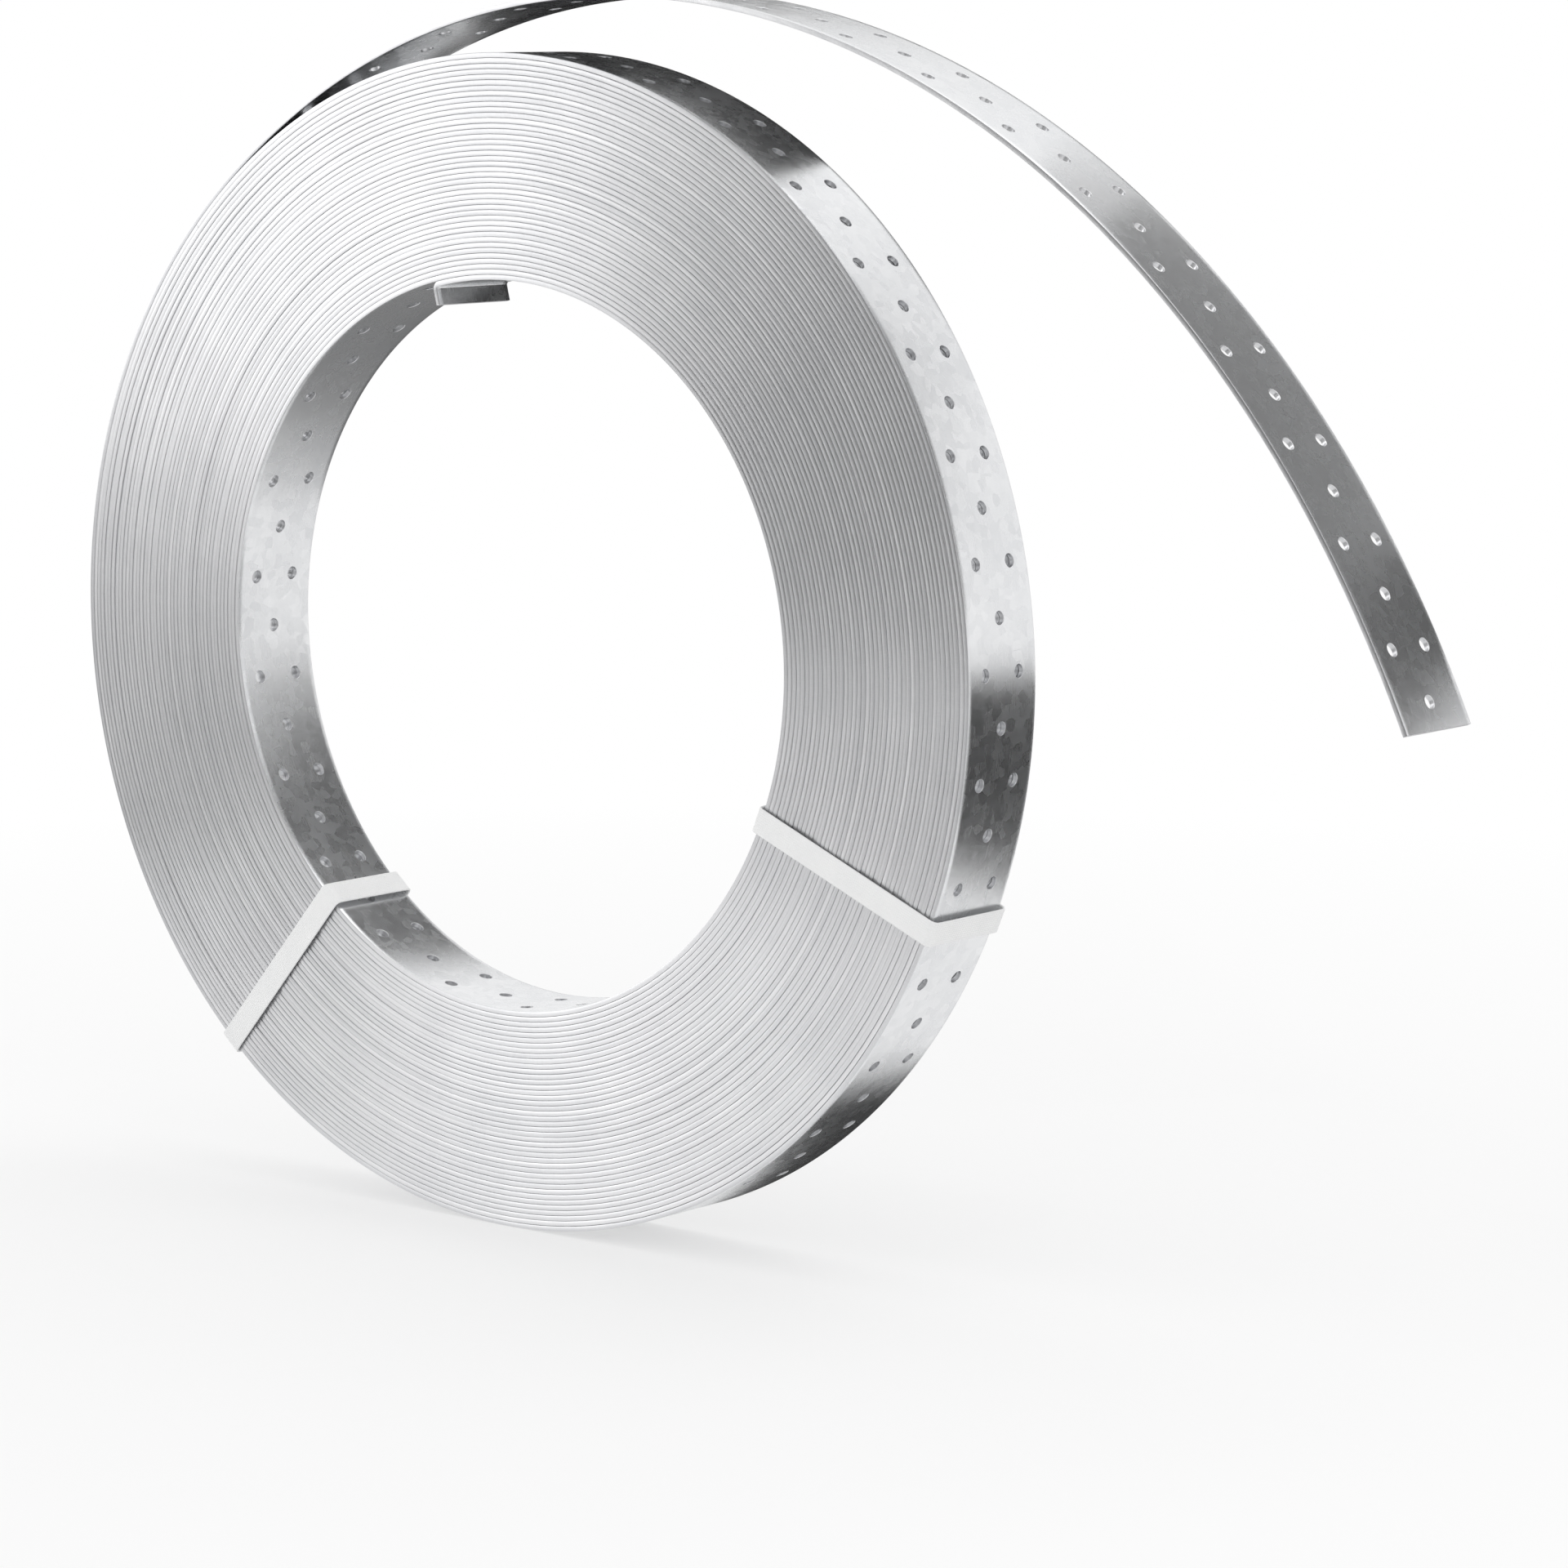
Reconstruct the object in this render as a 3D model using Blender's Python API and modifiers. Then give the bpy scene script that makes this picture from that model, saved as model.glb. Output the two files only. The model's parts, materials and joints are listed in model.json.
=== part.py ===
"""A coil of perforated steel strap with its free end, held by two plastic ties.

The coil stands on its rim: its axis runs along Y, the free end leaves towards +X, and Z = 0 is the
facet of the rim that it rests on. Every length is in metres.
"""

from math import cos, hypot, pi, radians, sin

import bmesh
import bpy
from mathutils import Matrix, Vector

# Strap
STRAP_WIDTH = 0.040
STRAP_THICKNESS = 0.0020
TURN_PITCH = 0.00204
HOLE_DIAMETER = 0.0050
HOLE_PITCH = 0.020
PAIR_OFFSET = 0.010

# The winder left the turns in bands that stand a little proud of each other: turns, steps along Y.
BAND_STEP = 0.0001
BANDS = (
    (5, 3),
    (10, -5),
    (10, 3),
    (9, -4),
    (5, 5),
)
INNER_RING_TURNS = 4
BAND_OVERLAP_TURNS = 1.5

# Coil
BORE_RADIUS = 0.1404
TURNS = INNER_RING_TURNS + sum(turns for turns, steps in BANDS)
RIM_RADIUS = BORE_RADIUS + TURNS * TURN_PITCH
RIM_FACETS = round(2 * pi * (RIM_RADIUS - STRAP_THICKNESS / 2) / HOLE_PITCH)
BORE_FACETS = round(2 * pi * (BORE_RADIUS + STRAP_THICKNESS / 2) / HOLE_PITCH)
RIM_STEP = 2 * pi / RIM_FACETS
BORE_STEP = 2 * pi / BORE_FACETS
FACET_HALF = RIM_STEP / 2

# The facet that the coil rests on, counted back from where the strap comes off the coil.
REST_FACET = 26
LEAVE_ANGLE = 1.5 * pi - (REST_FACET + 0.5) * RIM_STEP
TAIL_COLUMNS = 35
TAIL_RADIUS_AT_COIL = 0.2885
TAIL_RADIUS_AT_END = 0.4800
TAIL_OPENS_AFTER = 2

# The inner end is bent into the bore.
INNER_END_ANGLE = radians(103.5)
INNER_TAB = 0.0070

# Ties
TIE_WIDTH = 0.0100
TIE_THICKNESS = 0.0008
TIE_CLEARANCE = 0.0004
TIE_CORNER = 0.0025
TIE_INNER_CORNER = 0.0006
TIE_LAP = 0.026
TIE_LOWER_LEFT_ANGLE = radians(229.0)
TIE_RIGHT_ANGLE = radians(337.0)

# Hole cutters
COIL_SIDES = 8
TAIL_SIDES = 12
CUT_MARGIN = 0.0003


def clear_scene():
    for item in list(bpy.data.objects):
        bpy.data.objects.remove(item, do_unlink=True)


def new_collection(name):
    found = bpy.data.collections.new(name)
    bpy.context.scene.collection.children.link(found)
    return found


def new_material(name, colour, metallic, roughness):
    material = bpy.data.materials.new(name)
    material.use_nodes = True
    shader = material.node_tree.nodes["Principled BSDF"]
    shader.inputs["Base Color"].default_value = (*colour, 1.0)
    shader.inputs["Metallic"].default_value = metallic
    shader.inputs["Roughness"].default_value = roughness
    material.diffuse_color = (*colour, 1.0)
    return material


def mesh_object(name, bm, collection):
    mesh = bpy.data.meshes.new(name)
    bm.to_mesh(mesh)
    bm.free()
    made = bpy.data.objects.new(name, mesh)
    collection.objects.link(made)
    return made


def apply_to_mesh(source, name, collection):
    """Turn an object with its modifiers into a plain welded mesh object and drop the source."""
    bpy.context.view_layer.update()
    graph = bpy.context.evaluated_depsgraph_get()
    mesh = bpy.data.meshes.new_from_object(source.evaluated_get(graph))
    bm = bmesh.new()
    bm.from_mesh(mesh)
    bmesh.ops.transform(bm, matrix=source.matrix_world, verts=bm.verts)
    bmesh.ops.remove_doubles(bm, verts=bm.verts, dist=0.000002)
    bmesh.ops.recalc_face_normals(bm, faces=bm.faces)
    bpy.data.objects.remove(source, do_unlink=True)
    bpy.data.meshes.remove(mesh)
    return mesh_object(name, bm, collection)


def extrude_outline(name, loops, half_width, collection):
    """Extrude closed XZ outlines along Y; the first is the outside and the others are holes in it."""
    curve = bpy.data.curves.new(name, "CURVE")
    curve.dimensions = "2D"
    curve.fill_mode = "BOTH"
    curve.extrude = half_width
    for loop in loops:
        spline = curve.splines.new("POLY")
        spline.points.add(len(loop) - 1)
        for point, (x, z) in zip(spline.points, loop):
            point.co = (x, z, 0.0, 1.0)
        spline.use_cyclic_u = True
    drawn = bpy.data.objects.new(name + "_outline", curve)
    drawn.rotation_euler = (pi / 2, 0.0, 0.0)
    collection.objects.link(drawn)
    return apply_to_mesh(drawn, name, collection)


def polar(radius, angle):
    return radius * cos(angle), radius * sin(angle)


def offset_line(points, distance):
    """Shift an open line sideways with mitred joints; positive is to the left of its direction."""
    shifted = []
    for index, (x, z) in enumerate(points):
        before = points[max(index - 1, 0)]
        after = points[min(index + 1, len(points) - 1)]
        ax, az = x - before[0], z - before[1]
        bx, bz = after[0] - x, after[1] - z
        la, lb = hypot(ax, az), hypot(bx, bz)
        normals = []
        if la > 0:
            normals.append((-az / la, ax / la))
        if lb > 0:
            normals.append((-bz / lb, bx / lb))
        nx = sum(n[0] for n in normals)
        nz = sum(n[1] for n in normals)
        length = hypot(nx, nz)
        nx, nz = nx / length, nz / length
        reach = distance / (nx * normals[0][0] + nz * normals[0][1])
        shifted.append((x + nx * reach, z + nz * reach))
    return shifted


def tail_line():
    """Centreline of the free end from the coil to the cut, one node per hole pitch."""
    x, z = polar(RIM_RADIUS - STRAP_THICKNESS / 2, LEAVE_ANGLE)
    heading = LEAVE_ANGLE - pi / 2 - FACET_HALF
    points = [(x, z)]
    for column in range(TAIL_COLUMNS):
        x += HOLE_PITCH * cos(heading)
        z += HOLE_PITCH * sin(heading)
        points.append((x, z))
        share = (column + 1) / TAIL_COLUMNS
        bend = (1 - share) / TAIL_RADIUS_AT_COIL + share / TAIL_RADIUS_AT_END
        heading -= HOLE_PITCH * bend
    return points


def rim_radius_at(steps_back):
    """Outside of the outermost turn, counted in facets back from where the strap leaves."""
    return RIM_RADIUS - TURN_PITCH * steps_back / RIM_FACETS


def rim_line():
    """Outside of the outermost turn, anticlockwise from where the strap leaves."""
    points = []
    for step in range(RIM_FACETS):
        points.append(polar(rim_radius_at(step), LEAVE_ANGLE + step * RIM_STEP))
    return points


def axis_height():
    """Height of the coil's axis above the corner of the facet that it rests on."""
    return rim_radius_at(REST_FACET) * cos(FACET_HALF)


def circle_loop(radius, steps, phase):
    return [polar(radius, phase + 2 * pi * step / steps) for step in range(steps)]


def outer_turn(collection):
    """The outermost turn and the free end as one piece; its inner edge lies inside the bands."""
    line = tail_line()
    upper = offset_line(line, STRAP_THICKNESS / 2)
    lower = offset_line(line, -STRAP_THICKNESS / 2)
    last = RIM_FACETS - TAIL_OPENS_AFTER
    rim = rim_line()
    outside = rim[1:last + 1] + lower[TAIL_OPENS_AFTER:] + upper[::-1]
    inside = circle_loop(RIM_RADIUS - 4.5 * TURN_PITCH, RIM_FACETS, LEAVE_ANGLE)
    return extrude_outline("perforated_strap", [outside, inside], STRAP_WIDTH / 2, collection)


def bore_radius_at(angle_past_end):
    """Inside of the innermost turn, by the angle anticlockwise past the inner end."""
    return BORE_RADIUS + TURN_PITCH * (1 - angle_past_end / (2 * pi))


def bore_line():
    """Inside of the innermost turn, anticlockwise from its bent end."""
    points = []
    for step in range(BORE_FACETS):
        angle = step * BORE_STEP
        points.append(polar(bore_radius_at(angle), INNER_END_ANGLE + angle))
    return points


def inner_turn(collection):
    """The innermost turns with the end bent into the bore."""
    inside = bore_line()
    tip = BORE_RADIUS - INNER_TAB
    inside.append(polar(BORE_RADIUS, INNER_END_ANGLE - STRAP_THICKNESS / BORE_RADIUS))
    inside.append(polar(tip, INNER_END_ANGLE - STRAP_THICKNESS / tip))
    inside.append(polar(tip, INNER_END_ANGLE))
    outside = circle_loop(BORE_RADIUS + INNER_RING_TURNS * TURN_PITCH, RIM_FACETS, LEAVE_ANGLE)
    return extrude_outline("inner_turn", [outside, inside], STRAP_WIDTH / 2, collection)


def band_profile():
    """Section of the banded turns: inwards along the front end, then outwards along the back end."""
    radius = BORE_RADIUS + (INNER_RING_TURNS - BAND_OVERLAP_TURNS) * TURN_PITCH
    front = []
    back = []
    for turns, steps in BANDS:
        outer = radius + turns * TURN_PITCH
        shift = steps * BAND_STEP
        front.append((radius, shift - STRAP_WIDTH / 2))
        front.append((outer, shift - STRAP_WIDTH / 2))
        back.append((radius, shift + STRAP_WIDTH / 2))
        back.append((outer, shift + STRAP_WIDTH / 2))
        radius = outer
    return front[::-1] + back


def turned_bands(collection):
    """One turned solid for the turns between the innermost and the outermost."""
    profile = band_profile()
    bm = bmesh.new()
    points = [bm.verts.new((radius, 0.0, height)) for radius, height in profile]
    for first, second in zip(points, points[1:] + points[:1]):
        bm.edges.new((first, second))
    turned = mesh_object("bands_profile", bm, collection)
    screw = turned.modifiers.new("turn", "SCREW")
    screw.axis = "Z"
    screw.angle = 2 * pi
    screw.steps = RIM_FACETS
    screw.render_steps = RIM_FACETS
    screw.use_merge_vertices = True
    screw.merge_threshold = 0.00001
    turned.matrix_world = Matrix.Rotation(-LEAVE_ANGLE, 4, "Y") @ Matrix.Rotation(-pi / 2, 4, "X")
    return apply_to_mesh(turned, "bands", collection)


def boolean(target, other, operation, collection):
    modifier = target.modifiers.new("cut", "BOOLEAN")
    modifier.operation = operation
    modifier.solver = "EXACT"
    modifier.object = other
    return apply_to_mesh(target, target.name, collection)


def add_hole(bm, centre, outward, y, above, below, sides):
    """One cylinder through a point, reaching above it on the outward side and below it on the other."""
    direction = Vector((outward[0], 0.0, outward[1])).normalized()
    middle = Vector((centre[0], y, centre[1])) + direction * (above - below) / 2
    turn = direction.to_track_quat("Z", "Y").to_matrix().to_4x4()
    bmesh.ops.create_cone(
        bm,
        cap_ends=True,
        cap_tris=False,
        segments=sides,
        radius1=HOLE_DIAMETER / 2,
        radius2=HOLE_DIAMETER / 2,
        depth=above + below,
        matrix=Matrix.Translation(middle) @ turn,
    )


def column_heights(index):
    """Odd columns hold two holes and even columns one."""
    if index % 2:
        return (-PAIR_OFFSET, PAIR_OFFSET)
    return (0.0,)


def facet_middle(first, second):
    return (first[0] + second[0]) / 2, (first[1] + second[1]) / 2


def tail_holes(bm):
    """Holes of the free end, counted from the cut; they go through where it stands off the coil."""
    line = tail_line()[::-1]
    above = STRAP_THICKNESS / 2 + CUT_MARGIN
    for index in range(TAIL_COLUMNS):
        first, second = line[index], line[index + 1]
        free = index < TAIL_COLUMNS - TAIL_OPENS_AFTER
        below = above if free else STRAP_THICKNESS / 2
        outward = (second[1] - first[1], first[0] - second[0])
        for y in column_heights(index):
            add_hole(bm, facet_middle(first, second), outward, y, above, below, TAIL_SIDES)


def rim_holes(bm):
    """Holes of the outermost turn, one strap thickness deep."""
    rim = rim_line()
    for step in range(RIM_FACETS - TAIL_OPENS_AFTER):
        middle = facet_middle(rim[step], rim[step + 1])
        for y in column_heights(TAIL_COLUMNS + step):
            add_hole(bm, middle, middle, y, CUT_MARGIN, STRAP_THICKNESS, COIL_SIDES)


def bore_holes(bm):
    """Holes of the innermost turn, one strap thickness deep."""
    bore = bore_line()
    for step in range(BORE_FACETS - 1):
        middle = facet_middle(bore[step], bore[step + 1])
        inward = (-middle[0], -middle[1])
        for y in column_heights(step + 1):
            add_hole(bm, middle, inward, y, CUT_MARGIN, STRAP_THICKNESS, COIL_SIDES)


def build_strap(parts, cutters):
    strap = outer_turn(parts)
    bands = turned_bands(cutters)
    inner = inner_turn(cutters)
    strap = boolean(strap, bands, "UNION", parts)
    strap = boolean(strap, inner, "UNION", parts)
    bm = bmesh.new()
    tail_holes(bm)
    rim_holes(bm)
    bore_holes(bm)
    strap = boolean(strap, mesh_object("holes", bm, cutters), "DIFFERENCE", parts)
    strap.name = "perforated_strap"
    return strap


def rounded_box(low_x, high_x, low_y, high_y, corner):
    """A rectangle with each corner cut in two steps."""
    loop = []
    corners = ((high_x, high_y, 0.0), (low_x, high_y, 0.5), (low_x, low_y, 1.0), (high_x, low_y, 1.5))
    for x, y, quarter in corners:
        cx = x - corner if x == high_x else x + corner
        cy = y - corner if y == high_y else y + corner
        for part in (0.0, 0.25, 0.5):
            angle = (quarter + part) * pi
            loop.append((cx + corner * cos(angle), cy + corner * sin(angle)))
    return loop


def build_tie(name, angle, collection):
    """A closed band around the coil's section, with its welded lap on the back."""
    shift = BAND_STEP * max(abs(steps) for turns, steps in BANDS)
    low_x = BORE_RADIUS * cos(BORE_STEP / 2) - TIE_CLEARANCE
    high_x = RIM_RADIUS + TIE_CLEARANCE
    half = STRAP_WIDTH / 2 + shift + TIE_CLEARANCE
    inside = rounded_box(low_x, high_x, -half, half, TIE_INNER_CORNER)
    skin = TIE_THICKNESS
    outside = rounded_box(low_x - skin, high_x + skin, -half - skin, half + skin, TIE_CORNER)
    middle = (low_x + high_x) / 2
    lap = [
        (middle + TIE_LAP / 2, half + skin),
        (middle + TIE_LAP / 2 - skin, half + 2 * skin),
        (middle - TIE_LAP / 2 + skin, half + 2 * skin),
        (middle - TIE_LAP / 2, half + skin),
    ]
    outside = outside[:3] + lap + outside[3:]
    tie = extrude_outline(name, [outside, inside], TIE_WIDTH / 2, collection)
    turn = Matrix.Rotation(-angle, 4, "Y") @ Matrix.Rotation(-pi / 2, 4, "X")
    for vertex in tie.data.vertices:
        vertex.co = turn @ vertex.co
    bm = bmesh.new()
    bm.from_mesh(tie.data)
    bmesh.ops.recalc_face_normals(bm, faces=bm.faces)
    bm.to_mesh(tie.data)
    bm.free()
    return tie


def stand_on_floor(items):
    for item in items:
        for vertex in item.data.vertices:
            vertex.co.z += axis_height()


def main():
    clear_scene()
    parts = new_collection("perforated_steel_strap")
    cutters = new_collection("cutters")
    strap = build_strap(parts, cutters)
    lower_left = build_tie("tie_lower_left", TIE_LOWER_LEFT_ANGLE, parts)
    right = build_tie("tie_right", TIE_RIGHT_ANGLE, parts)
    stand_on_floor((strap, lower_left, right))
    strap.data.materials.clear()
    strap.data.materials.append(new_material("galvanised_steel", (0.72, 0.73, 0.74), 1.0, 0.35))
    for tie in (lower_left, right):
        tie.data.materials.clear()
        tie.data.materials.append(new_material(tie.name + "_plastic", (0.90, 0.90, 0.88), 0.0, 0.4))
    for helper in cutters.objects:
        helper.hide_render = True
        helper.display_type = "WIRE"


main()
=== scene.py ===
"""The looks of a coil of perforated galvanised strap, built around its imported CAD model.

The strap is one wound strip from its bent inner end, through every turn, to the cut of its free
end. Lengths are in metres, in the CAD's frame: the coil's axis along Y, Z = 0 where it rests.
"""

import json
from math import cos, hypot, pi, radians, sin

import bmesh
import bpy
from mathutils import Matrix, Vector

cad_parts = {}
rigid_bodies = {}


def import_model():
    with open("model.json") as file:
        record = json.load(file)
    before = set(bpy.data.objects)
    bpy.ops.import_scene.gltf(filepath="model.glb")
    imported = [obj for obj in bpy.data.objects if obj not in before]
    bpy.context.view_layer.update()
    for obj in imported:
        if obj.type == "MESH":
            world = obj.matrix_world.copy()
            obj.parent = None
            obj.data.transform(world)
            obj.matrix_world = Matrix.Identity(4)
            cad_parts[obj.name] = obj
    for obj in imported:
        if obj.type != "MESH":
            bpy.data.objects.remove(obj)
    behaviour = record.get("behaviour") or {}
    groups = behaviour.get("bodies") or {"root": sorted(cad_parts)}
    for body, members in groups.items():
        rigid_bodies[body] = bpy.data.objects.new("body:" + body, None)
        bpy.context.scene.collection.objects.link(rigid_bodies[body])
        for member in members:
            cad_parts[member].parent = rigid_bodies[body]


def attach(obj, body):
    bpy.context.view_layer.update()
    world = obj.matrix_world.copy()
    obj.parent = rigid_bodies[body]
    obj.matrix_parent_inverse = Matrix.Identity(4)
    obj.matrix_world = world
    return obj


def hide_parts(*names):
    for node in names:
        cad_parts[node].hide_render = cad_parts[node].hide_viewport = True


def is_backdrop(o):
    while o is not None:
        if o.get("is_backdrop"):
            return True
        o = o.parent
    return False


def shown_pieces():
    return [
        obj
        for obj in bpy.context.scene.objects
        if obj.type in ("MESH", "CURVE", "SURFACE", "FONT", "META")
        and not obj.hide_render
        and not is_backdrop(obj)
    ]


# Strap, as in the CAD
STRAP_WIDTH = 0.040
STRAP_THICKNESS = 0.0020
HOLE_RADIUS = 0.0025
HOLE_PITCH = 0.020
PAIR_OFFSET = 0.010
HALF = STRAP_THICKNESS / 2

# Coil, as in the CAD
BORE_RADIUS = 0.1404
RIM_RADIUS = 0.22812
CAD_PITCH = 0.00204
RIM_FACETS = 71
RIM_STEP = 2 * pi / RIM_FACETS
REST_FACET = 26
LEAVE_ANGLE = 1.5 * pi - (REST_FACET + 0.5) * RIM_STEP
BORE_FACETS = 44
BORE_STEP = 2 * pi / BORE_FACETS
INNER_END_ANGLE = radians(103.5)
INNER_TAB = 0.0070
AXIS_HEIGHT = (RIM_RADIUS - CAD_PITCH * REST_FACET / RIM_FACETS) * cos(RIM_STEP / 2)

# Free end, as in the CAD
TAIL_COLUMNS = 35
TAIL_RADIUS_AT_COIL = 0.2885
TAIL_RADIUS_AT_END = 0.4800

# Turns the smooth free end down a little, so that it doesn't bulge past the CAD's facets
TAIL_DIP = 0.0004
TAIL_STEP = 0.00125

# One spiral that starts at the bore and rests its outermost turn just above Z = 0
WHOLE_TURNS = 42
REST_GAP = 0.000001
INNER_CENTRE = BORE_RADIUS + HALF
WOUND_ANGLE = 2 * pi * WHOLE_TURNS - (LEAVE_ANGLE - INNER_END_ANGLE)
OUTER_CENTRE = AXIS_HEIGHT - HALF - REST_GAP + CAD_PITCH * (REST_FACET + 0.5) / RIM_FACETS
PITCH = (OUTER_CENTRE - INNER_CENTRE) / WOUND_ANGLE * 2 * pi

# The winder's bands: the turn at which each begins, and how far the strap moves along Y there,
# over BAND_RAMP of a turn. Small waves come on top. All of it fades out before the outermost turn.
BAND_MOVES = ((7.0, 0.00028), (13.0, -0.00040), (24.0, 0.00034), (35.0, -0.00042))
BAND_START = -0.00008
BAND_RAMP = 0.3
SLOW_WAVE = 0.00009
QUICK_WAVE = 0.00006
TURN_WAVE = 0.00004
CALM_TURNS = 1.5
CALM_BEFORE_END = 0.2

# Section of the strap: one rounded slit edge, from the outer face to the inner face
EDGE_ROUND = 0.00035
FACE_EDGE = STRAP_WIDTH / 2 - EDGE_ROUND
EDGE_POINTS = (
    (EDGE_ROUND * 0.70, HALF - EDGE_ROUND * 0.29),
    (EDGE_ROUND, HALF - EDGE_ROUND),
    (EDGE_ROUND, EDGE_ROUND - HALF),
    (EDGE_ROUND * 0.70, EDGE_ROUND * 0.29 - HALF),
)

# Mesh of a hole column: a grid, in which each hole has a square of PATCH cells to every side
PARTS = 8
GRID = HOLE_PITCH / PARTS
PATCH = 2
ROWS = [-FACE_EDGE] + [row * GRID for row in range(1 - PARTS, PARTS)] + [FACE_EDGE]
HOLE_SIDES = 32
HOLE_CHAMFER = 0.00015

# Mesh of the turns between: its step, how much of a step stays open at its seams with the other
# turns, and the radius at which its texture is measured
MIDDLE_STEP = radians(2.5)
SEAM = 0.01
MEAN_RADIUS = 0.184

# Corners that round to the same place are one corner: steps to a column, and steps to a metre
ALONG_KEYS = 4096
SPACE_KEYS = 1e7

# Margin of a hole's square across the strap
NEAR = 1e-7

# The bent inner end, in hole columns along the strap
BEND_RADIUS = 0.0021
BEND_END = (HALF + BEND_RADIUS) / INNER_CENTRE / BORE_STEP
BEND_COLUMNS = 0.4
BEND_STEPS = 8
TAB_COLUMNS = 0.4
LEAD_STEPS = 4

# Ties, in the space of the CAD's ties
TIE_WIDTH = 0.0100
TIE_THICKNESS = 0.0008
TIE_CLEARANCE = 0.0004
TIE_LAP = 0.026
TIE_BEND = 0.0018
BAND_REACH = 0.0005
TIE_LOW = BORE_RADIUS * cos(BORE_STEP / 2) - TIE_CLEARANCE
TIE_HIGH = RIM_RADIUS + TIE_CLEARANCE
TIE_MIDDLE = (TIE_LOW + TIE_HIGH) / 2
TIE_HALF = STRAP_WIDTH / 2 + BAND_REACH + TIE_CLEARANCE
TIE_LOWER_LEFT_ANGLE = radians(229.0)
TIE_RIGHT_ANGLE = radians(337.0)

# Where the tie's upper end climbs onto its lower end: how far before the lap, and over what length
LAP_RAMP_START = 0.0035
LAP_RAMP_LENGTH = 0.0033

# Steps of the tie's path: under the lap, round a corner, and along each straight after a corner
LAP_STEPS = 14
CORNER_STEPS = 6
STRAIGHT_STEPS = (20, 30, 20, 12)

# Across the tie: its edges are thinned by TIE_CROWN over TIE_SOFT
TIE_SOFT = 0.00022
TIE_CROWN = 0.00025

# One unit of the texture coordinates is 0.1 m
UV_SCALE = 10

# Sharp edges
STRAP_SHARP = radians(32.0)
TIE_SHARP = radians(40.0)


def eased(part):
    """A smooth step from 0 to 1."""
    part = min(max(part, 0.0), 1.0)
    return part * part * (3 - 2 * part)


def spiral_point(angle):
    """Centreline point and outward normal, by the angle wound outwards from the inner end."""
    radius = INNER_CENTRE + PITCH * angle / (2 * pi)
    turn = INNER_END_ANGLE - angle
    return (radius * cos(turn), radius * sin(turn)), (cos(turn), sin(turn))


def tail_headings():
    """Heading of the free end at the middle of each hole column, from the coil to the cut."""
    heading = LEAVE_ANGLE - pi / 2 - RIM_STEP / 2 - TAIL_DIP
    found = []
    for column in range(TAIL_COLUMNS):
        found.append(heading)
        share = (column + 1) / TAIL_COLUMNS
        heading -= HOLE_PITCH * ((1 - share) / TAIL_RADIUS_AT_COIL + share / TAIL_RADIUS_AT_END)
    return found


def heading_at(middles, column):
    """Heading of the free end at a distance from the coil, in hole columns."""
    place = column - 0.5
    if place < 0:
        start = LEAVE_ANGLE - pi / 2
        return start + (middles[0] - start) * column / 0.5
    low = min(TAIL_COLUMNS - 2, int(place))
    return middles[low] + (middles[low + 1] - middles[low]) * (place - low)


def tail_table(step):
    """Centreline points and outward normals of the free end at equal steps from the coil."""
    middles = tail_headings()
    x, z = spiral_point(WOUND_ANGLE)[0]
    table = []
    count = round(TAIL_COLUMNS * HOLE_PITCH / step)
    for index in range(count + 1):
        heading = heading_at(middles, index * step / HOLE_PITCH)
        table.append(((x, z), (-sin(heading), cos(heading))))
        halfway = heading_at(middles, (index + 0.5) * step / HOLE_PITCH)
        x += step * cos(halfway)
        z += step * sin(halfway)
    return table


TAIL_TABLE = tail_table(TAIL_STEP)


def tail_point(distance):
    """Centreline point and outward normal of the free end, by the distance from the coil."""
    place = min(max(distance / TAIL_STEP, 0.0), len(TAIL_TABLE) - 1.001)
    low = int(place)
    part = place - low
    (x0, z0), (nx0, nz0) = TAIL_TABLE[low]
    (x1, z1), (nx1, nz1) = TAIL_TABLE[low + 1]
    nx = nx0 + (nx1 - nx0) * part
    nz = nz0 + (nz1 - nz0) * part
    length = hypot(nx, nz)
    return (x0 + (x1 - x0) * part, z0 + (z1 - z0) * part), (nx / length, nz / length)


def wander(angle):
    """How far the strap lies off the coil's middle plane, by the angle wound from the inner end."""
    turn = angle / (2 * pi)
    shift = BAND_START
    for at, change in BAND_MOVES:
        shift += change * eased((turn - at) / BAND_RAMP)
    shift += SLOW_WAVE * sin(angle * 0.37 + 1.0) + QUICK_WAVE * sin(angle * 1.31 + turn * 2.1)
    shift += TURN_WAVE * sin(turn * 9.7)
    calm = min(max((WHOLE_TURNS - CALM_BEFORE_END - turn) / CALM_TURNS, 0.0), 1.0)
    return shift * calm


def link_mesh(name, mesh, sharp):
    """Puts a mesh into the scene, with outward faces, smooth shading and its sharp edges kept."""
    bm = bmesh.new()
    bm.from_mesh(mesh)
    bmesh.ops.recalc_face_normals(bm, faces=bm.faces)
    bm.to_mesh(mesh)
    bm.free()
    mesh.shade_smooth()
    mesh.set_sharp_from_angle(angle=sharp)
    made = bpy.data.objects.new(name, mesh)
    bpy.context.scene.collection.objects.link(made)
    return made


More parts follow.
